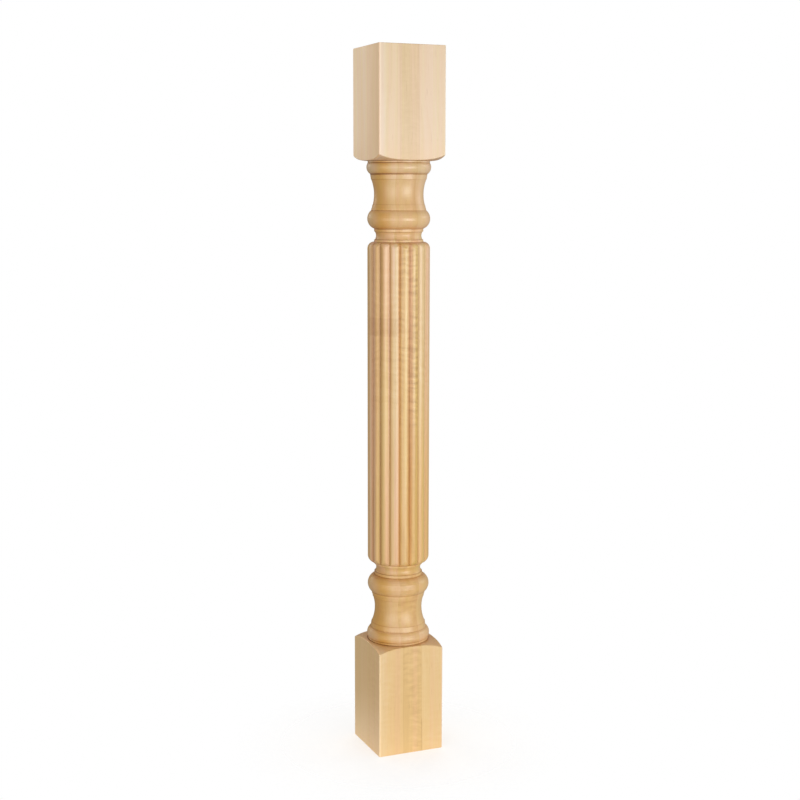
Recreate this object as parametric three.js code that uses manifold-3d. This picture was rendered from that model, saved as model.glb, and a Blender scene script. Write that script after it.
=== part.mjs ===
// A square wooden post with a turned and reeded shaft between two square blocks, cut from one blank.
// Millimetres, +Z up, with the origin at the middle of the underside.

import * as THREE from "three";
import { mergeVertices } from "three/addons/utils/BufferGeometryUtils.js";
import Module from "manifold-3d";

// Driving dimensions of the square blank
const postHeight = 901.7;
const postWidth = 88.9;
const arrisRadius = 0.8;
const lowerBlockHeight = 143;
const upperBlockHeight = 139.8;

// The shoulder where each block meets the turning: it starts square and curves back to the corners
const shoulderInnerRadius = 40;
const shoulderCurveRadius = 40.5;

// The turned members, in order from a block to the shaft: lengths run along the post, radii stand off its
// axis. The two ends match but for their necks: the lower one is a little longer and more hollow.
const stepLength = 2.6;
const stepRadius = 39.25;
const astragalLength = 13.6;
const astragalBulge = 2.95;
const collarLength = 6.6;
const collarOuterRadius = 36.1;
const collarInnerRadius = 35.1;
const upperNeckLength = 31.8;
const upperNeckHollow = 2.9;
const lowerNeckLength = 34.3;
const lowerNeckHollow = 3.5;
const bandLength = 6.9;
const bandNeckRadius = 33.25;
const bandBeadRadius = 34.9;
const beadLength = 23;
const beadBulge = 6.75;
const beadFilletLength = 3.5;
const beadFilletRadius = 31.1;
const coveLength = 10.3;
const coveHollow = 2.45;
const shaftFilletLength = 2.5;
const shaftFilletRadius = 31.2;

// The shaft and its reeds, which a groove parts on the middle line of the post's -Y side
const shaftRadius = 39.7;
const reedCount = 18;
const reedDepth = 2.5;
const firstGrooveAngle = -Math.PI / 2;

// How far the cutters reach past the wood, and the skin that the reeding takes off the turned shaft
const cutterReach = 5;
const reedingSkin = 0.3;

// Facets of the round stretches
const turningSegments = 60;
const arrisSegments = 2;
const reedSegments = 4;
const smallArcSegments = 4;
const largeArcSegments = 6;

const woodColour = new THREE.Color(0.83, 0.68, 0.49);
const woodRoughness = 0.5;

// What the two ends of the turning have in common, from the block to the middle of the shaft's fillet
const sharedEndLength = stepLength + astragalLength + collarLength + bandLength + beadLength
  + beadFilletLength + coveLength + shaftFilletLength / 2;

// Adds the points of a circular arc from the last point to end; it stands off the chord by bulge, to the
// left of the way it runs, or to the right where bulge is negative.
function arcTo(points, end, bulge, segments) {
  const start = points[points.length - 1];
  const along = end.clone().sub(start);
  const halfChord = along.length() / 2;
  along.normalize();
  const side = new THREE.Vector2(-along.y, along.x).multiplyScalar(Math.sign(bulge));
  const height = Math.abs(bulge);
  const radius = (halfChord * halfChord + height * height) / (2 * height);
  const centre = start.clone().add(end).multiplyScalar(0.5).addScaledVector(side, height - radius);
  const halfAngle = Math.asin(halfChord / radius);
  for (let step = 1; step <= segments; step += 1) {
    const angle = halfAngle * (2 * step / segments - 1);
    const point = centre.clone().addScaledVector(along, radius * Math.sin(angle));
    points.push(point.addScaledVector(side, radius * Math.cos(angle)));
  }
}

// One end of the turning, from outside the block's corners in to the shaft, as (radius, distance from
// the block).
function turnedEnd(neckLength, neckHollow) {
  const outerRadius = postWidth * Math.SQRT1_2 + cutterReach;
  const points = [];
  for (let step = largeArcSegments; step >= 0; step -= 2) {
    const out = (outerRadius - shoulderInnerRadius) * step / largeArcSegments;
    const rise = shoulderCurveRadius - Math.sqrt(shoulderCurveRadius ** 2 - out ** 2);
    points.push(new THREE.Vector2(shoulderInnerRadius + out, -rise));
  }

  let distance = 0;
  const next = (radius, length) => {
    distance += length;
    return new THREE.Vector2(radius, distance);
  };
  points.push(next(stepRadius, 0));
  points.push(next(stepRadius, stepLength));
  arcTo(points, next(collarOuterRadius, astragalLength), -astragalBulge, smallArcSegments);
  points.push(next(collarInnerRadius, collarLength));
  arcTo(points, next(bandNeckRadius, neckLength), neckHollow, smallArcSegments);
  points.push(next(bandBeadRadius, bandLength));
  arcTo(points, next(beadFilletRadius, beadLength), -beadBulge, largeArcSegments);
  points.push(next(beadFilletRadius, beadFilletLength));
  arcTo(points, next(shaftFilletRadius, coveLength), coveHollow, smallArcSegments);
  points.push(next(shaftFilletRadius, shaftFilletLength));
  const turnedShaftRadius = shaftRadius + reedingSkin;
  const quarter = turnedShaftRadius - shaftFilletRadius;
  arcTo(points, next(turnedShaftRadius, quarter), quarter * (Math.SQRT1_2 - 1), smallArcSegments);
  return points;
}

// The whole turned outline, up the post from the axis below the underside to the axis over the top.
function turnedOutline() {
  const lower = turnedEnd(lowerNeckLength, lowerNeckHollow);
  const upper = turnedEnd(upperNeckLength, upperNeckHollow);
  const outerRadius = lower[0].x;
  const points = [new THREE.Vector2(0, -cutterReach), new THREE.Vector2(outerRadius, -cutterReach)];
  for (const point of lower) {
    points.push(new THREE.Vector2(point.x, lowerBlockHeight + point.y));
  }
  for (const point of upper.reverse()) {
    points.push(new THREE.Vector2(point.x, postHeight - upperBlockHeight - point.y));
  }
  points.push(new THREE.Vector2(outerRadius, postHeight + cutterReach));
  points.push(new THREE.Vector2(0, postHeight + cutterReach));
  return points;
}

// The square section with its four arrises rounded over.
function blankSection() {
  const half = postWidth / 2;
  const flat = half - arrisRadius;
  const section = new THREE.Shape();
  section.moveTo(half, -flat);
  for (let corner = 0; corner < 4; corner += 1) {
    const turn = corner * Math.PI / 2;
    const centre = new THREE.Vector2(flat, flat).rotateAround(new THREE.Vector2(), turn);
    for (let step = 0; step <= arrisSegments; step += 1) {
      const angle = turn + step / arrisSegments * Math.PI / 2;
      section.lineTo(centre.x + arrisRadius * Math.cos(angle), centre.y + arrisRadius * Math.sin(angle));
    }
  }
  return section;
}

// The reeded section of the shaft: convex reeds that meet in sharp grooves, clockwise as seen from above.
function reedOutline() {
  const grooveRadius = shaftRadius - reedDepth;
  const pitch = 2 * Math.PI / reedCount;
  const groove = (index) => {
    const angle = firstGrooveAngle - index * pitch;
    return new THREE.Vector2(Math.cos(angle), Math.sin(angle)).multiplyScalar(grooveRadius);
  };
  const reedBulge = shaftRadius - grooveRadius * Math.cos(pitch / 2);
  const points = [groove(0)];
  for (let index = 1; index <= reedCount; index += 1) {
    arcTo(points, groove(index), reedBulge, reedSegments);
  }
  points.pop();
  return points;
}

// The ring that the reeding takes off around the shaft; it stops in the air over each shaft fillet.
function reedingCutter() {
  const bottom = lowerBlockHeight + lowerNeckLength + sharedEndLength;
  const top = postHeight - upperBlockHeight - upperNeckLength - sharedEndLength;
  const ring = new THREE.Shape();
  ring.absarc(0, 0, shaftRadius + cutterReach, 0, 2 * Math.PI);
  ring.holes.push(new THREE.Path(reedOutline()));
  const cutter = new THREE.ExtrudeGeometry(ring, { depth: top - bottom, bevelEnabled: false });
  return cutter.translate(0, 0, bottom);
}

const wasm = await Module();
wasm.setup();

// A closed geometry as a solid, without the slivers that a lathe leaves at its axis.
function toSolid(geometry) {
  const bare = geometry.clone();
  bare.deleteAttribute("normal");
  bare.deleteAttribute("uv");
  const merged = mergeVertices(bare);
  const corners = merged.index.array;
  const kept = [];
  for (let at = 0; at < corners.length; at += 3) {
    const [a, b, c] = corners.slice(at, at + 3);
    if (a !== b && b !== c && c !== a) {
      kept.push(a, b, c);
    }
  }
  const vertProperties = new Float32Array(merged.attributes.position.array);
  return new wasm.Manifold(new wasm.Mesh({ numProp: 3, vertProperties, triVerts: new Uint32Array(kept) }));
}

// A solid back as a geometry.
function toGeometry(solid) {
  const { numProp, vertProperties, triVerts } = solid.getMesh();
  const geometry = new THREE.BufferGeometry();
  geometry.setAttribute("position", new THREE.BufferAttribute(vertProperties, numProp));
  geometry.setIndex(new THREE.BufferAttribute(triVerts, 1));
  geometry.computeVertexNormals();
  return geometry;
}

// The post: the square blank, turned between its blocks and then reeded along the shaft.
function makePost() {
  const blank = new THREE.ExtrudeGeometry(blankSection(), { depth: postHeight, bevelEnabled: false });
  const turning = new THREE.LatheGeometry(turnedOutline(), turningSegments).rotateX(Math.PI / 2);
  const solid = toSolid(blank).intersect(toSolid(turning)).subtract(toSolid(reedingCutter()));
  const wood = new THREE.MeshStandardMaterial({ color: woodColour, roughness: woodRoughness, metalness: 0 });
  const post = new THREE.Mesh(toGeometry(solid), wood);
  post.name = "post";
  return post;
}

const model = new THREE.Group();
model.add(makePost());

export default model;
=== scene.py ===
"""A square wooden post, turned and reeded between its two blocks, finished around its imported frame."""

import logging
import math
from dataclasses import dataclass, field, fields
from enum import Enum
from typing import Any, Callable, Self

import bpy
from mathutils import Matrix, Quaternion, Vector


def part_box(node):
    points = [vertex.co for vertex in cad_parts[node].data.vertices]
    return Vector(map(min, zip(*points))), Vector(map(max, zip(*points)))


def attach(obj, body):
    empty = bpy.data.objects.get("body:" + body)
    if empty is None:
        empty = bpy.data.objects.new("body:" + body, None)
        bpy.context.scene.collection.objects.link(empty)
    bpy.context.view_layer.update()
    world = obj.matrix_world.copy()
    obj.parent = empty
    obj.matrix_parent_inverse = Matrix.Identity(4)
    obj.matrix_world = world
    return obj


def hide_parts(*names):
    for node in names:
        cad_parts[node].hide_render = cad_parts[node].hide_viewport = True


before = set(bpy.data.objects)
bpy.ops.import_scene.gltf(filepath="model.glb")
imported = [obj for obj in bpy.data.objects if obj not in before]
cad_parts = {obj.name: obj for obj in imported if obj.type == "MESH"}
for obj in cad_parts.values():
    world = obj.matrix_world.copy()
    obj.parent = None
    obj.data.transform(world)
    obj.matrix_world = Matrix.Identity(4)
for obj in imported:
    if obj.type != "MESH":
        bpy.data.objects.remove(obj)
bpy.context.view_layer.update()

log = logging.getLogger("reeded_post")

POST_NODE = "post"
WOOD_SLOT = "post_wood"
BODY = "root"
COLUMNS = 576

Pair = tuple[float, float]
Triple = tuple[float, float, float]
Sizes = dict[str, float | int]
Settings = dict[str, Any] | None
Inputs = dict[str | int, Any] | None


class Socket:
    """A node's output in a Python expression: each operator adds the Math node that works it out."""

    def __init__(self, graph: "Graph", output: bpy.types.NodeSocket) -> None:
        """Keeps the output and the graph that it belongs to."""
        self.graph = graph
        self.output = output

    def __add__(self, other: "Value") -> "Socket":
        """self + other."""
        return self.graph.math("ADD", self, other)

    def __radd__(self, other: "Value") -> "Socket":
        """other + self."""
        return self.graph.math("ADD", other, self)

    def __sub__(self, other: "Value") -> "Socket":
        """self - other."""
        return self.graph.math("SUBTRACT", self, other)

    def __rsub__(self, other: "Value") -> "Socket":
        """other - self."""
        return self.graph.math("SUBTRACT", other, self)

    def __mul__(self, other: "Value") -> "Socket":
        """self * other."""
        return self.graph.math("MULTIPLY", self, other)

    def __rmul__(self, other: "Value") -> "Socket":
        """other * self."""
        return self.graph.math("MULTIPLY", other, self)

    def __truediv__(self, other: "Value") -> "Socket":
        """self / other."""
        return self.graph.math("DIVIDE", self, other)

    def __rtruediv__(self, other: "Value") -> "Socket":
        """other / self."""
        return self.graph.math("DIVIDE", other, self)

    def __neg__(self) -> "Socket":
        """-self."""
        return self.graph.math("MULTIPLY", self, -1.0)

    def __abs__(self) -> "Socket":
        """abs(self)."""
        return self.graph.math("ABSOLUTE", self)


Value = Socket | float | int
Spot = tuple[Value, Value, Value]


class Graph:
    """A node tree, of a shape or of a finish, whose nodes all come from one method."""

    def __init__(self, tree: bpy.types.NodeTree) -> None:
        """Keeps the tree that the nodes go into."""
        self.tree = tree

    @classmethod
    def of(cls, owner: bpy.types.Material | bpy.types.World) -> Self:
        """Empties the node tree of a material or a world and returns its graph."""
        owner.use_nodes = True
        owner.node_tree.nodes.clear()
        return cls(owner.node_tree)

    def node(self, kind: str, settings: Settings = None, inputs: Inputs = None) -> bpy.types.Node:
        """Adds a node.

        Args:
            kind: The node's type.
            settings: Its own settings, set first; "stops" gives a ramp's (position, colour) pairs.
            inputs: A value or a Socket for each input that is named or numbered.

        Returns:
            The new node.
        """
        made = self.tree.nodes.new(kind)
        for name, value in (settings or {}).items():
            if name == "stops":
                self._set_stops(made.color_ramp, value)
            else:
                setattr(made, name, value)
        for name, value in (inputs or {}).items():
            self.plug(made.inputs[name], value)
        return made

    def out(
        self, kind: str, settings: Settings = None, inputs: Inputs = None, output: str | int = 0,
    ) -> Socket:
        """Adds a node as node() does and returns the output of that name or number."""
        return Socket(self, self.node(kind, settings, inputs).outputs[output])

    def plug(self, socket: bpy.types.NodeSocket, value: Any) -> None:
        """Links a Socket to an input, or sets the input's own value.

        Args:
            socket: The input.
            value: A Socket, or a plain value.
        """
        if isinstance(value, Socket):
            self.tree.links.new(value.output, socket)
        else:
            socket.default_value = value

    def math(self, operation: str, *values: Value, clamp: bool = False) -> Socket:
        """Adds a Math node and returns its result, kept between 0 and 1 if it is clamped."""
        settings = {"operation": operation, "use_clamp": clamp}
        return self.out("ShaderNodeMath", settings, dict(enumerate(values)))

    def vector(self, operation: str, *values: Any, output: str = "Vector") -> Socket:
        """Adds a Vector Math node and returns its result, which is a number if output is "Value"."""
        return self.out("ShaderNodeVectorMath", {"operation": operation}, dict(enumerate(values)), output)

    @staticmethod
    def _set_stops(ramp: bpy.types.ColorRamp, stops: list[tuple[float, tuple[float, ...]]]) -> None:
        """Gives a ramp its stops.

        Args:
            ramp: The ramp.
            stops: The position and colour of each stop, from left to right.
        """
        while len(ramp.elements) < len(stops):
            ramp.elements.new(1.0)
        for element, (position, colour) in zip(ramp.elements, stops):
            element.position = position
            element.color = colour


class FinishGraph(Graph):
    """The node tree of a finish, with the point of the surface that it colours."""

    def __init__(self, tree: bpy.types.NodeTree) -> None:
        """Adds the point, as one vector and as its three coordinates."""
        super().__init__(tree)
        self.place = self.out("ShaderNodeTexCoord", output="Object")
        self.axes = self.parts(self.place)

    def parts(self, vector: Socket) -> list[Socket]:
        """Returns the three coordinates of a vector."""
        split = self.node("ShaderNodeSeparateXYZ", inputs={0: vector})
        return [Socket(self, output) for output in split.outputs]

    def distance(self, place: Socket, other: Triple) -> Socket:
        """Returns how far apart two points are."""
        return self.vector("DISTANCE", place, other, output="Value")

    def noise(self, grain: Triple, detail: float, place: Socket | None = None) -> Socket:
        """Adds a noise, about 0.5 on average, that changes so often in a metre along each axis."""
        at = self.vector("MULTIPLY", place or self.place, grain)
        return self.out("ShaderNodeTexNoise", inputs={"Vector": at, "Scale": 1.0, "Detail": detail})

    def between(self, value: Socket, none: float, full: float) -> Socket:
        """Maps a value smoothly to 0 at none and beyond it, and to 1 at full and beyond it."""
        return self.out("ShaderNodeMapRange", {"interpolation_type": "SMOOTHSTEP"},
                        {0: value, 1: none, 2: full, 3: 0.0, 4: 1.0})


class ShapeGroup(Graph):
    """A Geometry Nodes group with named number inputs and one Geometry output."""

    def __init__(self, name: str, sizes: Sizes) -> None:
        """Makes the group and its inputs.

        Args:
            name: The group's name.
            sizes: Each input's name and first value; a whole number makes a whole-number input.
        """
        super().__init__(bpy.data.node_groups.new(name, "GeometryNodeTree"))
        self.labels = list(sizes)
        faces = self.tree.interface
        for label, value in sizes.items():
            kind = "NodeSocketInt" if isinstance(value, int) else "NodeSocketFloat"
            faces.new_socket(label, in_out="INPUT", socket_type=kind).default_value = value
        faces.new_socket("Geometry", in_out="OUTPUT", socket_type="NodeSocketGeometry")
        self._given = self.node("NodeGroupInput").outputs

    def given(self, label: str) -> Socket:
        """Returns the group input of that name."""
        return Socket(self, self._given[label])

    def call(self, group: "ShapeGroup", values: dict[str, Value]) -> Socket:
        """Uses another group here; an input that isn't given a value gets this group's own of that name."""
        same = {label: self.given(label) for label in group.labels if label in self.labels}
        return self.out("GeometryNodeGroup", {"node_tree": group.tree}, same | values)

    def join(self, parts: list[Socket]) -> Socket:
        """Returns several geometries joined into one."""
        joined = self.node("GeometryNodeJoinGeometry")
        for part in reversed(parts):
            self.tree.links.new(part.output, joined.inputs[0])
        return Socket(self, joined.outputs[0])

    def finish(self, geometry: Socket) -> None:
        """Hands the geometry out of the group."""
        self.node("NodeGroupOutput", inputs={"Geometry": geometry})

    def skin(self, columns: Value, rows: Value, shape: Callable[[Socket, Socket], Spot]) -> Socket:
        """Makes one band of surface all the way round the axis, with its faces outwards.

        Args:
            columns: How many faces go round.
            rows: How many faces go along the outline.
            shape: Gives the radius, the height and how much painted shade goes there, from the angle
            about the axis and the share of the way along the outline, which runs up the post.

        Returns:
            The band, with the last of those three kept as the point attribute "finish", the amount of painted
            shade.
        """
        grid = {"Size X": 1.0, "Size Y": 1.0, "Vertices X": columns + 1, "Vertices Y": rows + 1}
        sheet = self.out("GeometryNodeMeshGrid", inputs=grid)
        place = self.node("ShaderNodeSeparateXYZ", inputs={0: self.out("GeometryNodeInputPosition")})
        turn = (Socket(self, place.outputs[0]) + 0.5) * math.tau
        along = Socket(self, place.outputs[1]) + 0.5
        radius, height, finish = shape(turn, along)
        # The "finish" attribute holds the amount of painted shade that the wood's colour reads.
        kept = {"Geometry": sheet, "Name": "finish", "Value": finish}
        sheet = self.out("GeometryNodeStoreNamedAttribute", {"data_type": "FLOAT", "domain": "POINT"}, kept)
        where = self.out("ShaderNodeCombineXYZ", inputs={
            0: radius * self.math("COSINE", turn),
            1: radius * self.math("SINE", turn),
            2: height,
        })
        return self.out("GeometryNodeSetPosition", inputs={"Geometry": sheet, "Position": where})


def add_object(name: str, data: bpy.types.ID) -> bpy.types.Object:
    """Makes an object and links it into the scene."""
    made = bpy.data.objects.new(name, data)
    bpy.context.scene.collection.objects.link(made)
    return made


def inputs_of(part: Any) -> Sizes:
    """Returns a part's sizes by the names of their node inputs, such as "Cove length"."""
    return {item.name.replace("_", " ").capitalize(): getattr(part, item.name) for item in fields(part)}


def shared_inputs_of(part: Any) -> Sizes:
    """Returns the sizes of a part that both ends of the post have in common."""
    sizes = inputs_of(part).items()
    return {label: size for label, size in sizes if not label.startswith(("Upper", "Lower"))}


@dataclass(frozen=True)
class Blank:
    """The square blank, with the two blocks that the turning leaves at its ends."""

    height: float
    width: float
    lower_block: float = 0.143
    upper_block: float = 0.1398
    arris_radius: float = 0.0011
    edge_chamfer: float = 0.0005
    shoulder_radius: float = 0.040
    shoulder_curve: float = 0.0405
    shoulder_rows: int = 6
    # corner_finish is painted shade in the corner where the shoulder meets the turning.
    corner_finish: float = 1.8
    face_rows: int = 2

    def section(self, shape: ShapeGroup, turn: Socket) -> Socket:
        """Works out how far the square section reaches, with its arrises rounded over.

        Args:
            shape: The group being built.
            turn: The angle about the axis.

        Returns:
            The distance from the axis to the section's outline.
        """
        half = shape.given("Width") / 2
        arris = shape.given("Arris radius")
        flat = half - arris
        across = abs(shape.math("COSINE", turn))
        up = abs(shape.math("SINE", turn))
        near = shape.math("MAXIMUM", across, up)
        far = shape.math("MINIMUM", across, up)
        reach = half / near
        lean = flat * (near + far)
        inside = lean * lean - 2 * flat * flat + arris * arris
        rounded = lean + shape.math("SQRT", shape.math("MAXIMUM", inside, 0.0))
        on_arris = shape.math("GREATER_THAN", far * reach, flat)
        return reach + on_arris * (rounded - reach)

    def block_end(self) -> ShapeGroup:
        """Builds the group for one block, from the turning to its sawn end, about the turning's middle."""
        shape = ShapeGroup("Block end", {
            "Columns": COLUMNS, "Width": self.width, "Block": self.upper_block, "Edge": 0.3,
            "Arris radius": self.arris_radius, "Edge chamfer": self.edge_chamfer,
            "Shoulder radius": self.shoulder_radius, "Shoulder curve": self.shoulder_curve,
            "Shoulder rows": self.shoulder_rows, "Face rows": self.face_rows,
            "Corner finish": self.corner_finish,
        })
        given = shape.given
        columns = given("Columns")
        chamfer = given("Edge chamfer")
        inner = given("Shoulder radius")
        curve = given("Shoulder curve")
        edge = given("Edge")
        end = edge + given("Block")

        def shoulder_height(radius: Socket) -> Socket:
            """Returns the height of the turned shoulder at a radius."""
            out = radius - inner
            return edge + curve - shape.math("SQRT", curve * curve - out * out)

        def shoulder(turn: Socket, along: Socket) -> Spot:
            """The turned shoulder, out to where the square's sides cut it."""
            radius = inner + along * (self.section(shape, turn) - chamfer - inner)
            # Painted shade in the corner at the shoulder's foot.
            at_corner = shape.math("LESS_THAN", along, 0.01)
            return radius, shoulder_height(radius), given("Corner finish") * at_corner

        def shoulder_edge(turn: Socket, along: Socket) -> Spot:
            """The sanded edge between the shoulder and the sides."""
            section = self.section(shape, turn)
            low = shoulder_height(section - chamfer)
            high = shoulder_height(section) + chamfer
            return section - chamfer * (1 - along), low + along * (high - low), 0.0

        def side(turn: Socket, along: Socket) -> Spot:
            """The block's flat sides and arrises."""
            section = self.section(shape, turn)
            low = shoulder_height(section) + chamfer
            return section, low + along * (end - chamfer - low), 0.0

        def end_edge(turn: Socket, along: Socket) -> Spot:
            """The sanded edge round the sawn end."""
            return self.section(shape, turn) - chamfer * along, end - chamfer * (1 - along), 0.0

        def end_face(turn: Socket, along: Socket) -> Spot:
            """The sawn end."""
            return (self.section(shape, turn) - chamfer) * (1 - along), end + 0.0, 0.0

        shape.finish(shape.join([
            shape.skin(columns, given("Shoulder rows"), shoulder),
            shape.skin(columns, 1, shoulder_edge),
            shape.skin(columns, 1, side),
            shape.skin(columns, 1, end_edge),
            shape.skin(columns, given("Face rows"), end_face),
        ]))
        return shape


@dataclass(frozen=True)
class Turning:
    """The turned members between a block and the shaft: lengths run along the post, radii off its axis."""

    step_length: float = 0.0026
    step_radius: float = 0.03925
    astragal_length: float = 0.0136
    astragal_bulge: float = 0.00295
    collar_length: float = 0.0066
    collar_outer_radius: float = 0.0361
    collar_inner_radius: float = 0.0351
    neck_step: float = 0.00035
    upper_neck_length: float = 0.0318
    upper_neck_hollow: float = 0.00255
    lower_neck_length: float = 0.0343
    lower_neck_hollow: float = 0.00315
    band_length: float = 0.0042
    band_neck_radius: float = 0.03325
    band_edge_radius: float = 0.0341
    bead_quirk: float = 0.0003
    bead_quirk_length: float = 0.0027
    band_bead_radius: float = 0.0349
    bead_length: float = 0.023
    bead_bulge: float = 0.00675
    bead_fillet_length: float = 0.0035
    bead_fillet_radius: float = 0.0311
    cove_step: float = 0.0007
    cove_length: float = 0.0103
    cove_hollow: float = 0.00175
    shaft_fillet_length: float = 0.0025
    shaft_fillet_radius: float = 0.0312
    flat_rows: int = 3
    small_rows: int = 8
    bead_rows: int = 12
    neck_rows: int = 14
    crowding: float = 0.6
    # Painted shade: each finish below says how much painted shade goes on a member's ends or middle, most in
    # quirks, coves and corners, where shade falls.
    finish: float = 0.28
    fillet_finish: float = 0.0
    neck_finish: float = 0.65
    bead_finish: float = 1.9
    upper_cove_finish: float = 2.2
    lower_cove_finish: float = 1.4
    upper_quirk_finish: float = 3.4
    lower_quirk_finish: float = 2.0
    upper_collar_finish: float = 3.8
    lower_collar_finish: float = 1.0

    @property
    def shared_length(self) -> float:
        """The length of all the members of one end but its neck."""
        return sum(size for label, size in shared_inputs_of(self).items() if label.endswith("length"))

    def ring(self) -> ShapeGroup:
        """Builds the group for one member: a straight or round stretch of outline, turned about the axis."""
        shape = ShapeGroup("Turned member", {
            "Columns": COLUMNS, "Rows": 8, "Start radius": 0.03, "Start height": 0.0,
            "End radius": 0.03, "End height": 0.01, "Bulge": 0.0, "Crowding": self.crowding,
            "Finish": self.finish, "Start finish": self.finish, "End finish": self.finish,
        })
        given = shape.given
        start = given("Start radius"), given("Start height")
        rise = given("End radius") - start[0]
        run = given("End height") - start[1]
        bulge = given("Bulge")
        half_chord = shape.math("SQRT", rise * rise + run * run) / 2
        least_angle = 1e-5
        end_share = 1e-3
        half_angle = shape.math("ARCTAN2", bulge, half_chord) * 2 + least_angle

        def outline(_turn: Socket, count: Socket) -> Spot:
            """An arc over the chord, all but flat without a bulge, its rows crowded at both ends."""
            along = count + given("Crowding") * (count * count * (3 - 2 * count) - count)
            share = shape.math("SINE", half_angle * along) / shape.math("SINE", half_angle)
            left = half_angle * (1 - along)
            ahead = share * shape.math("COSINE", left)
            aside = share * shape.math("SINE", left)
            radius = start[0] + ahead * rise + aside * run
            height = start[1] + ahead * run - aside * rise
            at_start = shape.math("LESS_THAN", count, end_share)
            at_end = shape.math("GREATER_THAN", count, 1 - end_share)
            # The finish values are amounts of painted shade.
            finish = given("Finish")
            finish = finish + at_start * (given("Start finish") - finish)
            return radius, height, finish + at_end * (given("End finish") - finish)

        shape.finish(shape.skin(given("Columns"), given("Rows"), outline))
        return shape

    def members(self) -> ShapeGroup:
        """Builds the group for all the members of one end, from the shaft's fillet up to the block."""
        shape = ShapeGroup("Turned members", {
            "Columns": COLUMNS, "Base": 0.2, "Shoulder radius": 0.04, "Neck length": self.upper_neck_length,
            "Neck hollow": self.upper_neck_hollow, "Cove finish": self.upper_cove_finish,
            "Quirk finish": self.upper_quirk_finish, "Collar finish": self.upper_collar_finish,
            **shared_inputs_of(self),
        })
        given = shape.given
        ring = self.ring()
        made: list[Socket] = []
        radius = given("Shaft fillet radius")
        height = given("Base")

        # Painted shade: how much each kind of place gets, none on fillets and most in quirks.
        faint_shade = given("Finish")
        no_shade = given("Fillet finish")
        at_neck = given("Neck finish")
        at_cove = given("Cove finish")
        thick = given("Quirk finish")

        def grow(
            to_radius: Value, length: Value, bulge: Value = 0.0, rows: Value = 1,
            ends: tuple[Value, Value] = (faint_shade, faint_shade), between: Value = faint_shade,
        ) -> None:
            """Adds the next member up.

            Args:
                to_radius: Its radius where it ends.
                length: How far it runs up the post.
                bulge: How far it stands off the chord; a negative one hollows it.
                rows: How many faces go along it.
                ends: How much painted shade its two ends get.
                between: How much painted shade it gets between them.
            """
            nonlocal radius, height
            made.append(shape.call(ring, {
                "Rows": rows, "Start radius": radius, "Start height": height, "End radius": to_radius,
                "End height": height + length, "Bulge": bulge, "Finish": between,
                "Start finish": ends[0], "End finish": ends[1],
            }))
            radius = to_radius
            height = height + length

        flat = given("Flat rows")
        small = given("Small rows")
        neck_step = given("Neck step")
        cove_step = given("Cove step")
        grow(radius, given("Shaft fillet length"), 0.0, flat, (no_shade, no_shade), no_shade)
        grow(radius - cove_step, 0.0, ends=(no_shade, at_cove))
        grow(given("Bead fillet radius") - cove_step, given("Cove length"),
             -given("Cove hollow"), small, (at_cove, at_cove))
        grow(given("Bead fillet radius"), 0.0, ends=(at_cove, no_shade))
        grow(radius, given("Bead fillet length"), 0.0, flat, (no_shade, no_shade), no_shade)
        grow(given("Band bead radius"), given("Bead length"), given("Bead bulge"),
             given("Bead rows"), (thick, given("Bead finish")))
        grow(given("Band edge radius") + given("Bead quirk"), given("Bead quirk length"),
             0.0, flat, (no_shade, no_shade), no_shade)
        grow(given("Band edge radius"), 0.0)
        grow(given("Band neck radius"), given("Band length"))
        grow(radius - neck_step, 0.0, ends=(faint_shade, at_neck))
        grow(given("Collar inner radius") - neck_step, given("Neck length"),
             -given("Neck hollow"), given("Neck rows"), (at_neck, at_neck))
        grow(given("Collar inner radius"), 0.0, ends=(at_neck, faint_shade))
        grow(given("Collar outer radius"), given("Collar length"), 0.0, flat)
        grow(given("Step radius"), given("Astragal length"), given("Astragal bulge"),
             small, (given("Collar finish"), thick))
        grow(radius, given("Step length"), 0.0, flat, (faint_shade, thick))
        grow(given("Shoulder radius"), 0.0, ends=(thick, thick))
        shape.finish(shape.join(made))
        return shape


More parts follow.
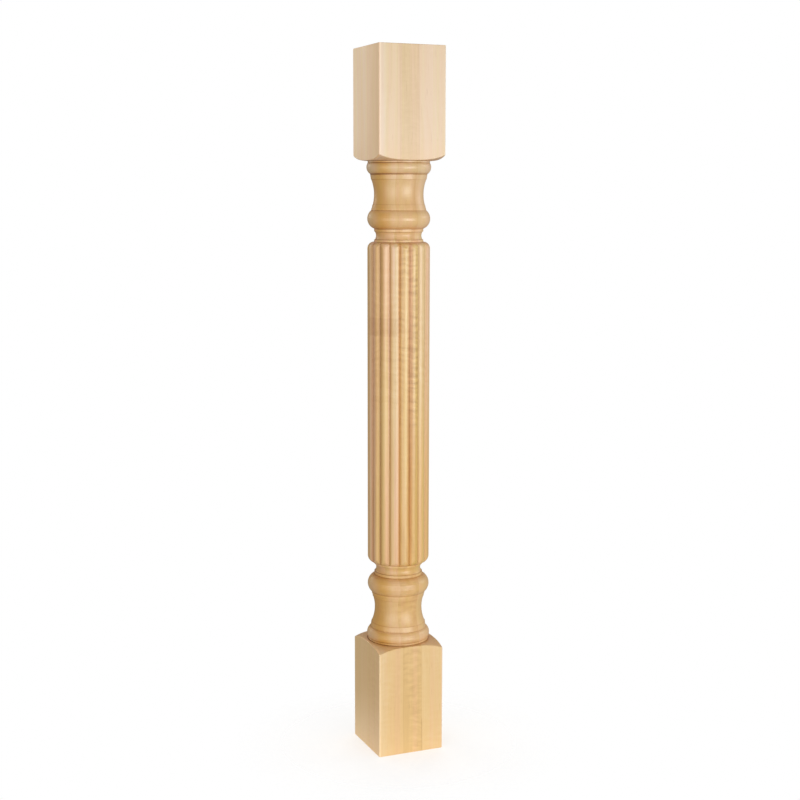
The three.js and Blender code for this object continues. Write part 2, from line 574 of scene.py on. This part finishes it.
@dataclass(frozen=True)
class Reeding:
    """The shaft with its convex reeds, which meet in sharp grooves and end in a turned round shoulder."""

    shaft_radius: float = 0.0397
    reeds: int = 18
    reed_depth: float = 0.0025
    first_groove: float = -math.pi / 2
    reed_end_rows: int = 6
    # The foot finishes are painted shade at the foot of each round shoulder.
    upper_foot_finish: float = 0.6
    lower_foot_finish: float = 2.4

    def section(self, shape: ShapeGroup, turn: Socket) -> tuple[Socket, Socket]:
        """Works out how far the reeded section reaches.

        Args:
            shape: The group being built.
            turn: The angle about the axis.

        Returns:
            The distance from the axis to the section's outline, and how deep in a groove that is.
        """
        crest = shape.given("Shaft radius")
        groove = crest - shape.given("Reed depth")
        pitch = math.tau / shape.given("Reeds")
        half_chord = groove * shape.math("SINE", pitch / 2)
        bulge = crest - groove * shape.math("COSINE", pitch / 2)
        reed_radius = (half_chord * half_chord + bulge * bulge) / (2 * bulge)
        reed_centre = crest - reed_radius
        count = shape.math("FRACT", (turn - shape.given("First groove")) / pitch)
        off_crest = (count - 0.5) * pitch
        aside = reed_centre * shape.math("SINE", off_crest)
        over = shape.math("SQRT", reed_radius * reed_radius - aside * aside)
        reach = reed_centre * shape.math("COSINE", off_crest) + over
        return reach, (crest - reach) / shape.given("Reed depth")

    def half_shaft(self) -> ShapeGroup:
        """Builds the group for the upper half of the shaft, from its middle to the foot of its shoulder."""
        shape = ShapeGroup("Reeded half shaft", {
            "Columns": COLUMNS, "Foot": 0.2, "Foot radius": 0.0313, "Foot finish": self.upper_foot_finish,
            **shared_inputs_of(self),
        })
        given = shape.given
        columns = given("Columns")
        foot_radius = given("Foot radius")
        quarter = given("Shaft radius") - foot_radius
        centre = given("Foot") - quarter

        def edge_angle(reach: Socket) -> Socket:
            """Returns the angle round the shoulder at which a reach of the section meets it."""
            return shape.math("ARCSINE", (reach - foot_radius) / quarter)

        def shaft(turn: Socket, along: Socket) -> Spot:
            """The reeds, up to where the shoulder cuts them."""
            reach, depth = self.section(shape, turn)
            top = centre + quarter * shape.math("COSINE", edge_angle(reach))
            # Painted shade: the deeper in a groove, the more.
            return reach, along * top, depth

        def shoulder(turn: Socket, along: Socket) -> Spot:
            """The round shoulder, from the reeds' ends down to the fillet."""
            reach, depth = self.section(shape, turn)
            angle = edge_angle(reach) * (1 - along)
            radius = foot_radius + quarter * shape.math("SINE", angle)
            # Painted shade in the grooves and at the shoulder's foot.
            finish = depth * (1 - along) + given("Foot finish") * shape.math("POWER", along, 8.0)
            return radius, centre + quarter * shape.math("COSINE", angle), finish

        shape.finish(shape.join([
            shape.skin(columns, 1, shaft),
            shape.skin(columns, given("Reed end rows"), shoulder),
        ]))
        return shape


@dataclass(frozen=True)
class Post:
    """The whole post: one blank, turned and reeded."""

    blank: Blank
    turning: Turning = field(default_factory=Turning)
    reeding: Reeding = field(default_factory=Reeding)
    columns: int = COLUMNS
    sharp_angle: float = math.radians(34)
    weld: float = 1e-5

    def tree(self, wood: bpy.types.Material) -> tuple[ShapeGroup, Sizes]:
        """Builds the node tree for the whole post.

        Args:
            wood: The finish that the tree ends with.

        Returns:
            The tree, and the value of each of its named inputs.
        """
        blank, turning, reeding = self.blank, self.turning, self.reeding
        sizes: Sizes = {
            "Columns": self.columns, "Members length": turning.shared_length,
            **inputs_of(blank), **inputs_of(turning), **inputs_of(reeding),
        }
        shape = ShapeGroup("Reeded post", sizes)
        given = shape.given
        turned_half = (given("Height") - given("Lower block") - given("Upper block")) / 2
        half_shaft, members, block_end = reeding.half_shaft(), turning.members(), blank.block_end()
        halves = []
        for end, facing in (("Upper", 1.0), ("Lower", -1.0)):
            foot = turned_half - given("Members length") - given(f"{end} neck length")
            own = ("Neck length", "Neck hollow", "Cove finish", "Quirk finish", "Collar finish")
            shaft = shape.call(half_shaft, {
                "Foot": foot, "Foot radius": given("Shaft fillet radius"),
                "Foot finish": given(f"{end} foot finish"),
            })
            turned = shape.call(members, {
                "Base": foot, **{label: given(f"{end} {label.lower()}") for label in own},
            })
            block = shape.call(block_end, {"Block": given(f"{end} block"), "Edge": turned_half})
            half = shape.out("GeometryNodeTransform", inputs={
                "Geometry": shape.join([shaft, turned, block]), "Scale": (1.0, 1.0, facing),
            })
            halves.append(half if facing > 0 else shape.out("GeometryNodeFlipFaces", inputs={0: half}))
        lift = shape.out("ShaderNodeCombineXYZ", inputs={2: given("Lower block") + turned_half})
        whole = shape.out("GeometryNodeTransform", inputs={
            "Geometry": shape.join(halves), "Translation": lift,
        })
        whole = shape.out("GeometryNodeRealizeInstances", inputs={0: whole})
        whole = shape.out("GeometryNodeMergeByDistance", inputs={"Geometry": whole, "Distance": self.weld})
        gentle = shape.math("LESS_THAN", shape.out("GeometryNodeInputMeshEdgeAngle"), self.sharp_angle)
        whole = shape.out("GeometryNodeSetShadeSmooth", {"domain": "EDGE"},
                          {"Geometry": whole, "Shade Smooth": gentle})
        shape.finish(shape.out("GeometryNodeSetMaterial", inputs={"Geometry": whole, "Material": wood}))
        return shape, sizes

    def build(self, wood: bpy.types.Material) -> bpy.types.Object:
        """Makes the post's mesh, hangs it on its body and hides the imported part.

        Args:
            wood: The post's finish.

        Returns:
            The finished piece.
        """
        shape, sizes = self.tree(wood)
        maker = add_object("post_maker", bpy.data.meshes.new("post_maker"))
        modifier = maker.modifiers.new("Reeded post", "NODES")
        modifier.node_group = shape.tree
        identifiers = {item.name: item.identifier for item in shape.tree.interface.items_tree
                       if item.in_out == "INPUT"}
        for label, value in sizes.items():
            modifier[identifiers[label]] = value
        evaluated = maker.evaluated_get(bpy.context.evaluated_depsgraph_get())
        mesh = bpy.data.meshes.new_from_object(evaluated)
        bpy.data.objects.remove(maker)
        post = add_object("reeded_post", mesh)
        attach(post, BODY)
        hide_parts(POST_NODE)
        return post


LEFT_SIDE = ((-0.0425, -0.044),)
LOW_TURNING = ((0.15, 0.17), (0.60, 0.28))
LOWER_BLOCK = ((0.1456, 0.1454),)
UPPER_BLOCK = ((0.70, 0.80),)


class Figure(Enum):
    """How strongly a board's grain ripples across its length."""

    PLAIN = 0.0
    WAVY = 0.35
    CURLY = 0.9


@dataclass(frozen=True)
class Board:
    """One board of the glued-up blank."""

    tone: float
    warmth: float
    figure: Figure


@dataclass(frozen=True)
class Patch:
    """A part of the wood with a tint laid over its colour; some tints are painted light or shade, as marked.

    Each span runs from where there is none of it to where it is full. The last two fields say how much of it
    there is on the shaft and on the rest of the post.
    """

    name: str
    tint: Triple
    across: tuple[Pair, ...] = ()
    deep: tuple[Pair, ...] = ()
    up: tuple[Pair, ...] = ()
    on_shaft: float = 1.0
    off_shaft: float = 1.0


@dataclass(frozen=True)
class Stripe:
    """A long streak on the turning, which comes in between the two heights of its reach; most are grain, and
    those marked are painted highlights.
    """

    across: float
    deep: float
    half_width: float
    tint: Triple
    reach: Pair = (0.20, 0.45)
    on_shaft: bool = True


@dataclass(frozen=True)
class PostWood:
    """Pale close-grained hardwood, glued up from boards, under a satin clear finish.

    Each tint multiplies the wood's colour. Each grain says how many times a noise changes in a metre, along
    each axis.
    """

    row_cut: float = -0.004
    front_cuts: Pair = (-0.0105, 0.0155)
    back_cuts: Pair = (-0.018, 0.012)
    lean: float = 0.008
    boards: tuple[Board, ...] = (
        Board(0.52, 0.42, Figure.WAVY),
        Board(0.30, 1.0, Figure.CURLY),
        Board(0.62, 0.45, Figure.WAVY),
        Board(0.66, 0.45, Figure.PLAIN),
        Board(0.40, 0.40, Figure.WAVY),
        Board(0.60, 0.50, Figure.PLAIN),
    )
    board_shift: Triple = (0.31, 0.17, 0.73)
    glue_width: float = 0.0005
    glue: Triple = (0.72, 0.62, 0.50)
    glue_share: float = 0.2
    open_glue: Triple = (0.66, 0.52, 0.36)
    open_glue_below: Pair = (0.048, 0.040)
    open_glue_right_of: Pair = (0.0, 0.005)
    palest: Triple = (0.84, 0.66, 0.42)
    middle: Triple = (0.76, 0.523, 0.255)
    darkest: Triple = (0.55, 0.33, 0.13)
    rosy: Triple = (1.05, 0.93, 1.06)
    golden: Triple = (1.0, 0.97, 0.76)
    ring_pitch: Triple = (130, 95, 7.3)
    ring_sway: float = 9
    sway_grain: Triple = (9, 9, 3.2)
    fibre_grain: Triple = (620, 620, 14)
    streak_grain: Triple = (150, 150, 3.5)
    slant: Pair = (0.05, 0.02)
    slant_grain: Triple = (30, 30, 14)
    curl_patch_grain: Triple = (45, 45, 12)
    curl_patch_edge: Pair = (0.28, 0.56)
    curl_pitch: Triple = (55, 40, 190)
    curl_weight: float = 1.15
    curl_fades: Pair = (0.2, 0.7)
    curl_comes_back: Pair = (0.40, 0.47)
    blotch_grain: Triple = (22, 22, 5)
    hue_grain: Triple = (170, 170, 2.5)
    hue_edge: Pair = (0.35, 0.65)
    fleck_grain: Triple = (1500, 1500, 55)
    fleck_edge: Pair = (0.66, 0.78)
    fleck: Triple = (0.70, 0.58, 0.45)
    fleck_share: float = 0.4
    sheen_grain: Triple = (40, 40, 12)
    turned_middle: float = 0.4525
    shaft_reach: Pair = (0.205, 0.225)
    turning_reach: Pair = (0.3085, 0.3105)
    patches: tuple[Patch, ...] = (
        Patch("heartwood", (0.92, 0.79, 0.42), ((-0.018, -0.031), (-0.042, -0.033)), ((-0.038, -0.028),),
              ((0.142, 0.144), (0.763, 0.761)), on_shaft=0.25),
        Patch("low turning", (0.97, 0.95, 0.80), ((-0.020, -0.002),), (), LOW_TURNING),
        Patch("low reeds", (1.0, 1.0, 0.84), ((-0.020, -0.002),), (), LOW_TURNING, off_shaft=0.0),
        Patch("lower block", (0.96, 0.97, 0.89), (), (), LOWER_BLOCK),
        # Painted shade: the lower block's left face is painted a little darker.
        Patch("lower block's left side", (0.95, 0.93, 0.93), LEFT_SIDE, (), LOWER_BLOCK),
        Patch("darker band", (0.90, 0.85, 0.79), ((0.0, -0.02),), ((0.02, -0.01),),
              ((0.54178, 0.54522), (0.56822, 0.56478))),
        # Painted light: the upper block is painted paler and cooler than the wood below it.
        Patch("upper block", (0.97, 1.12, 1.45), (), (), UPPER_BLOCK),
        # Painted light: the upper block's left face is painted lighter and warmer.
        Patch("upper block's left side", (1.13, 1.05, 0.92), LEFT_SIDE, (), UPPER_BLOCK),
        # Painted shade: the upper block's left face darkens towards its near corner.
        Patch("upper block's left edge", (0.87, 0.79, 0.69), LEFT_SIDE, ((0.010, -0.044),), UPPER_BLOCK),
        Patch("sapwood", (1.02, 1.07, 1.22), ((-0.0320, -0.0385),), on_shaft=0.3),
        # Painted sheen: both blocks' left faces are painted paler, as a reflection of the bright
        # surroundings.
        Patch("left skin", (1.16, 1.17, 1.15), ((-0.0405, -0.0440),)),
    )
    stripes: tuple[Stripe, ...] = (
        # Painted highlight: a pale streak along a reed's crest.
        Stripe(-0.0273, -0.0278, 0.0036, (1.13, 1.22, 1.36)),
        Stripe(-0.0185, -0.0338, 0.0034, (1.0, 1.06, 1.31)),
        Stripe(-0.0359, -0.0164, 0.0036, (1.06, 1.09, 0.88), (0.10, 0.15)),
        Stripe(-0.0395, -0.0034, 0.0085, (1.02, 0.97, 1.08), (0.10, 0.15)),
        Stripe(-0.0284, -0.0275, 0.0034, (1.05, 1.0, 1.14), (0.44, 0.34)),
        Stripe(-0.0239, -0.0285, 0.0026, (0.95, 0.97, 0.80), (0.46, 0.36)),
        Stripe(-0.0127, -0.0350, 0.0038, (1.0, 0.97, 0.78), (0.10, 0.15)),
        Stripe(-0.0080, -0.0388, 0.0028, (0.98, 1.04, 1.14), (0.46, 0.36)),
        Stripe(0.0, -0.0372, 0.0036, (1.02, 0.93, 0.70), (0.46, 0.36)),
        Stripe(0.0052, -0.0392, 0.0034, (1.0, 1.05, 0.84), (0.42, 0.32)),
        Stripe(0.0095, -0.0383, 0.0030, (0.94, 0.97, 0.84), (0.10, 0.15)),
        Stripe(0.0178, -0.0353, 0.0045, (1.0, 1.03, 1.15), (0.40, 0.50)),
        # Painted highlight: a pale streak on the upper neck.
        Stripe(-0.0095, -0.0368, 0.0085, (1.02, 1.05, 1.14), (0.735, 0.72), on_shaft=False),
        Stripe(0.0105, -0.0335, 0.0075, (0.92, 0.90, 0.80), (0.66, 0.70), on_shaft=False),
    )
    stripe_core: float = 0.4
    # Painted highlight: the blocks' vertical arrises are painted paler, as a highlight along them.
    rubbed: Triple = (1.08, 1.16, 1.40)
    rubbed_edge: Pair = (0.0422, 0.0434)
    end_grain: Triple = (0.94, 0.84, 0.78)
    end_grain_edge: Pair = (0.55, 1.0)
    # Painted shade: the stored finish amount darkens grooves, corners, quirks and hollows, where shade falls,
    # and more so on the left.
    gather: float = 0.91
    gather_left: float = 13.0
    pooled: Triple = (0.72, 0.58, 0.40)
    pooled_edge: Pair = (0.1, 1.1)
    thick: Triple = (0.60, 0.45, 0.27)
    thick_edge: Pair = (0.9, 2.0)
    knots: tuple[Triple, ...] = ((0.0132, -0.0368, 0.525),)
    knot: Triple = (0.22, 0.13, 0.08)
    knot_edge: Pair = (0.0018, 0.0006)
    roughness: float = 0.39
    gloss: float = 0.88
    relief: float = 0.0002

    def build(self) -> bpy.types.Material:
        """Makes the finish."""
        material = bpy.data.materials.new(WOOD_SLOT)
        graph = FinishGraph.of(material)
        board, seam = self.layup(graph)
        grain, fibre, ripple = self.grain(graph, board)
        uneven = graph.noise(self.sheen_grain, 2)
        shader = graph.out("ShaderNodeBsdfPrincipled", inputs={
            "Base Color": self.colour(graph, board, grain, seam),
            "Roughness": self.roughness + (uneven - 0.5) * 0.12 + (fibre - 0.5) * 0.1,
            "Specular IOR Level": self.gloss,
            "Normal": graph.out("ShaderNodeBump", inputs={
                "Strength": 0.5, "Distance": self.relief, "Height": fibre * 0.35 + ripple * 0.65,
            }),
        })
        graph.node("ShaderNodeOutputMaterial", inputs={"Surface": shader})
        return material

    def along(self, graph: FinishGraph, reach: Pair) -> Socket:
        """Returns 1 near the turning's middle and 0 far from it, fading between the reach's two distances."""
        return 1 - graph.between(abs(graph.axes[2] - self.turned_middle), *reach)

    def layup(self, graph: FinishGraph) -> tuple[list[Socket], Socket]:
        """Works out which board each point lies in.

        Args:
            graph: The finish's graph.

        Returns:
            The board's number, tone, warmth and figure, and how near the point is to a glue line.
        """
        across, deep, up = graph.axes
        across = across + up * self.lean
        behind = graph.math("GREATER_THAN", deep, self.row_cut)

        def row(cuts: Pair) -> Socket:
            """Counts the glue lines of one row to the left of the point."""
            return graph.math("GREATER_THAN", across, cuts[0]) + graph.math("GREATER_THAN", across, cuts[1])

        def nearest(cuts: Pair) -> Socket:
            """Returns the distance to the nearer glue line of one row."""
            return graph.math("MINIMUM", *(abs(across - cut) for cut in cuts))

        front, back = row(self.front_cuts), row(self.back_cuts)
        number = front + behind * (back + 3 - front)
        near_front, near_back = nearest(self.front_cuts), nearest(self.back_cuts)
        gap = near_front + behind * (near_back - near_front)
        gap = graph.math("MINIMUM", gap, abs(deep - self.row_cut))
        seam = 1 - graph.between(gap, 0.0, self.glue_width)
        count = len(self.boards)
        stops = [(index / count, (board.tone, board.warmth, board.figure.value, 1.0))
                 for index, board in enumerate(self.boards)]
        ramp = graph.node("ShaderNodeValToRGB", {"stops": stops}, {0: (number + 0.5) / count})
        ramp.color_ramp.interpolation = "CONSTANT"
        traits = graph.node("ShaderNodeSeparateColor", inputs={0: Socket(graph, ramp.outputs[0])})
        return [number, *(Socket(graph, output) for output in traits.outputs)], seam

    def grain(self, graph: FinishGraph, board: list[Socket]) -> tuple[Socket, Socket, Socket]:
        """Draws the grain of the wood.

        Args:
            graph: The finish's graph.
            board: The number, tone, warmth and figure of each point's board.

        Returns:
            How light the grain is, and the fine fibres and the ripples alone, each about 0.5 on average.
        """
        number, _tone, _warmth, figure = board
        across, deep, up = graph.axes
        shift = graph.out("ShaderNodeCombineXYZ", inputs={
            axis: number * step for axis, step in enumerate(self.board_shift)
        })
        own = graph.vector("ADD", graph.place, shift)
        ring_across, ring_deep, ring_board = self.ring_pitch
        rings_at = across * ring_across + deep * ring_deep + number * ring_board
        rings_at = rings_at + graph.noise(self.sway_grain, 2, own) * self.ring_sway
        rings = graph.out("ShaderNodeTexNoise", {"noise_dimensions": "1D"},
                          {"W": rings_at, "Scale": 1.0, "Detail": 2.0})
        fibre = graph.noise(self.fibre_grain, 3, own)
        streak = graph.noise(self.streak_grain, 2, own)
        slant = up + across * self.slant[0] + graph.noise(self.slant_grain, 2, own) * self.slant[1]
        pitch_across, pitch_deep, pitch_up = self.curl_pitch
        waves = graph.out("ShaderNodeTexNoise", {"noise_dimensions": "2D"}, {
            "Vector": graph.out("ShaderNodeCombineXYZ", inputs={
                0: slant * pitch_up, 1: across * pitch_across + deep * pitch_deep,
            }),
            "Scale": 1.0, "Detail": 2.0,
        })
        curly = graph.between(graph.noise(self.curl_patch_grain, 1, own), *self.curl_patch_edge)
        shaft = self.along(graph, self.shaft_reach)
        at_ends = 0.55 - graph.between(up, *self.curl_fades) * 0.4
        on_shaft = graph.between(up, *self.curl_comes_back) * 0.8 + 0.2
        ripple = (waves - 0.5) * figure * curly * (at_ends + shaft * (on_shaft - at_ends)) + 0.5
        grain = (
            0.5 + (rings - 0.5) * (shaft * 0.3 + 0.18) + (streak - 0.5) * (shaft * 0.65 + 0.18)
            + (fibre - 0.5) * 0.2 + (ripple - 0.5) * self.curl_weight
        )
        return grain, fibre, ripple

    def colour(self, graph: FinishGraph, board: list[Socket], grain: Socket, seam: Socket) -> Socket:
        """Colours the wood.

        Args:
            graph: The finish's graph.
            board: The number, tone, warmth and figure of each point's board.
            grain: How light the grain is.
            seam: How near a glue line is.

        Returns:
            The colour of the surface.
        """
        _number, tone, warmth, _figure = board
        across, deep, up = graph.axes
        light = grain + (tone - 0.5) * 0.55 + (graph.noise(self.blotch_grain, 2) - 0.5) * 0.2
        colour = graph.out("ShaderNodeValToRGB", {"stops": [
            (0.0, (*self.darkest, 1.0)), (0.5, (*self.middle, 1.0)), (1.0, (*self.palest, 1.0)),
        ]}, {0: light})

        def paint(tint: Triple, share: Socket, name: str = "") -> None:
            """Multiplies the colour by a tint, as far as the share says."""
            nonlocal colour
            settings = {"data_type": "RGBA", "blend_type": "MULTIPLY", "label": name}
            colour = graph.out("ShaderNodeMix", settings, {0: share, 6: colour, 7: (*tint, 1.0)}, output=2)

        shaft = self.along(graph, self.shaft_reach)
        turned_ends = self.along(graph, self.turning_reach) - shaft
        hue = graph.between(graph.noise(self.hue_grain, 1), *self.hue_edge)
        hue = (hue - 0.5) * (shaft * 0.6 + 0.4) + 0.5
        paint(self.rosy, hue)
        paint(self.golden, (1 - hue) * 0.6 + warmth * 0.4)
        for patch in self.patches:
            share = shaft * (patch.on_shaft - patch.off_shaft) + patch.off_shaft
            for axis, spans in zip(graph.axes, (patch.across, patch.deep, patch.up)):
                for span in spans:
                    share = share * graph.between(axis, *span)
            paint(patch.tint, share, patch.name)
        level = graph.vector("MULTIPLY", graph.place, (1.0, 1.0, 0.0))
        for stripe in self.stripes:
            off = graph.distance(level, (stripe.across, stripe.deep, 0.0))
            share = graph.between(off, stripe.half_width, stripe.half_width * self.stripe_core)
            share = share * (shaft if stripe.on_shaft else turned_ends)
            paint(stripe.tint, share * graph.between(up, *stripe.reach))
        # Painted highlight along the blocks' arrises.
        corner = graph.math("MINIMUM", abs(across), abs(deep))
        paint(self.rubbed, graph.between(corner, *self.rubbed_edge))
        flecks = graph.between(graph.noise(self.fleck_grain, 1), *self.fleck_edge)
        paint(self.fleck, flecks * self.fleck_share)
        paint(self.glue, seam * self.glue_share)
        opened = graph.between(up, *self.open_glue_below) * graph.between(across, *self.open_glue_right_of)
        paint(self.open_glue, seam * opened)
        facing = graph.parts(graph.out("ShaderNodeTexCoord", output="Normal"))
        paint(self.end_grain, graph.between(abs(facing[2]), *self.end_grain_edge))
        # Painted shade: the stored finish amount, stronger towards the left, darkens grooves, corners and
        # hollows.
        shade_amount = graph.out("ShaderNodeAttribute", {"attribute_name": "finish"}, output="Fac")
        shade_amount = shade_amount * (self.gather - across * self.gather_left)
        paint(self.pooled, graph.between(shade_amount, *self.pooled_edge))
        paint(self.thick, graph.between(shade_amount, *self.thick_edge))
        for knot in self.knots:
            paint(self.knot, graph.between(graph.distance(graph.place, knot), *self.knot_edge))
        return colour


@dataclass(frozen=True)
class AreaLight:
    """A soft light: its angle from the camera's side to the right, its elevation and its power in watts."""

    name: str
    picture_angle: float
    elevation: float
    size: Pair
    power: float
    colour: Triple = (1.0, 1.0, 1.0)


@dataclass(frozen=True)
class Studio:
    """A pale floor, soft light and the camera."""

    camera_turn: float = math.radians(22.624)
    camera_distance: float = 1.834
    camera_height: float = 0.723
    camera_yaw: float = math.radians(0.063)
    camera_pitch: float = math.radians(8.211)
    camera_roll: float = math.radians(0.099)
    lens: float = 64.8
    sensor: float = 36.0
    floor_radius: float = 4.0
    floor_fade: Pair = (0.0, 0.22)
    floor_glow: float = 0.45
    sky: float = 0.42
    dark_sky: float = 0.22
    dark_side: Pair = (-140, 0)
    dark_edge: Pair = (-0.3, 0.8)
    light_distance: float = 2.6
    light_aim: float = 0.45
    area_lights: tuple[AreaLight, ...] = (
        AreaLight("key", 38, -2, (1.8, 0.9), 33),
        AreaLight("fill", -20, 0, (1.1, 1.1), 11.5),
        AreaLight("left", -50, 0, (0.8, 1.1), 9, (1.0, 0.9, 0.74)),
        AreaLight("left_rim", -134, 15, (0.6, 0.9), 3.4, (1.0, 0.92, 0.80)),
        AreaLight("right_rim", 108, 15, (0.9, 0.9), 5.5),
        AreaLight("back", 178, 48, (1.2, 0.9), 12),
        AreaLight("top", -120, 70, (0.9, 0.9), 7),
    )

    def towards(self, picture_angle: float, elevation: float) -> Vector:
        """Gives a direction away from the post.

        Args:
            picture_angle: Degrees from the camera's own side, positive to the right of the picture.
            elevation: Degrees over the horizon.

        Returns:
            The direction, of length 1.
        """
        turn = math.radians(picture_angle) - self.camera_turn
        rise = math.radians(elevation)
        return Vector((math.sin(turn) * math.cos(rise), -math.cos(turn) * math.cos(rise), math.sin(rise)))

    def camera(self) -> None:
        """Places the camera where the photograph was taken from."""
        data = bpy.data.cameras.new("camera")
        data.lens = self.lens
        data.sensor_width = self.sensor
        camera = add_object("camera", data)
        camera.location = self.towards(0, 0) * self.camera_distance + Vector((0, 0, self.camera_height))
        heading = self.camera_turn + self.camera_yaw
        ahead = Vector((
            math.sin(heading) * math.cos(self.camera_pitch),
            math.cos(heading) * math.cos(self.camera_pitch),
            -math.sin(self.camera_pitch),
        ))
        camera.rotation_mode = "QUATERNION"
        roll = Quaternion((0, 0, 1), self.camera_roll)
        camera.rotation_quaternion = ahead.to_track_quat("-Z", "Y") @ roll
        bpy.context.scene.camera = camera

    def area_light(self, light: AreaLight) -> None:
        """Hangs one soft light, turned to the middle of the post."""
        data = bpy.data.lights.new(light.name, "AREA")
        data.shape = "RECTANGLE"
        data.size, data.size_y = light.size
        data.energy = light.power
        data.color = light.colour
        hung = add_object(light.name, data)
        away = self.towards(light.picture_angle, light.elevation)
        hung.location = away * self.light_distance + Vector((0, 0, self.light_aim))
        hung.rotation_mode = "QUATERNION"
        hung.rotation_quaternion = away.to_track_quat("Z", "Y")

    def lights(self) -> None:
        """Hangs the lights and sets the sky."""
        for light in self.area_lights:
            self.area_light(light)
        world = bpy.data.worlds.new("sky")
        graph = Graph.of(world)
        seen = graph.out("ShaderNodeLightPath", output="Is Camera Ray")
        ahead = graph.out("ShaderNodeTexCoord", output="Generated")
        shade = graph.vector("DOT_PRODUCT", ahead, self.towards(*self.dark_side), output="Value")
        soft = graph.out("ShaderNodeMapRange", {"interpolation_type": "SMOOTHSTEP"},
                         dict(enumerate((shade, *self.dark_edge, self.sky, self.dark_sky))))
        strength = soft + seen * (1.0 - soft)
        sky = graph.out("ShaderNodeBackground", inputs={"Color": (1, 1, 1, 1), "Strength": strength})
        graph.node("ShaderNodeOutputWorld", inputs={"Surface": sky})
        bpy.context.scene.world = world

    def floor(self) -> None:
        """Lays the floor, which fades into the background."""
        mesh = bpy.data.meshes.new("floor")
        reach = self.floor_radius
        corners = [(-reach, -reach, 0), (reach, -reach, 0), (reach, reach, 0), (-reach, reach, 0)]
        mesh.from_pydata(corners, [], [(0, 1, 2, 3)])
        floor = add_object("floor", mesh)
        material = bpy.data.materials.new("floor")
        graph = Graph.of(material)
        place = graph.out("ShaderNodeTexCoord", output="Object")
        away = graph.vector("LENGTH", place, output="Value")
        start, end = self.floor_fade
        fade = graph.math("DIVIDE", away - start, end - start, clamp=True)
        paint = graph.out("ShaderNodeBsdfPrincipled", inputs={
            "Base Color": (0.8, 0.79, 0.78, 1), "Roughness": 1.0, "Specular IOR Level": 0.0,
            "Emission Color": (1, 1, 1, 1), "Emission Strength": self.floor_glow,
        })
        clear = graph.out("ShaderNodeBsdfTransparent")
        mixed = graph.out("ShaderNodeMixShader", inputs={0: fade, 1: paint, 2: clear})
        graph.node("ShaderNodeOutputMaterial", inputs={"Surface": mixed})
        mesh.materials.append(material)

    def build(self) -> None:
        """Sets the whole studio up."""
        self.camera()
        self.lights()
        self.floor()
        bpy.context.scene.view_settings.view_transform = "Standard"


def main() -> None:
    """Builds the post and its studio."""
    logging.basicConfig(level=logging.INFO, format="%(name)s: %(message)s")
    low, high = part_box(POST_NODE)
    post = Post(Blank(height=high[2] - low[2], width=high[0] - low[0])).build(PostWood().build())
    log.info("%s: %d faces, %d points", post.name, len(post.data.polygons), len(post.data.vertices))
    Studio().build()
    log.info("studio: camera, lights and floor")


if __name__ == "__main__":
    main()
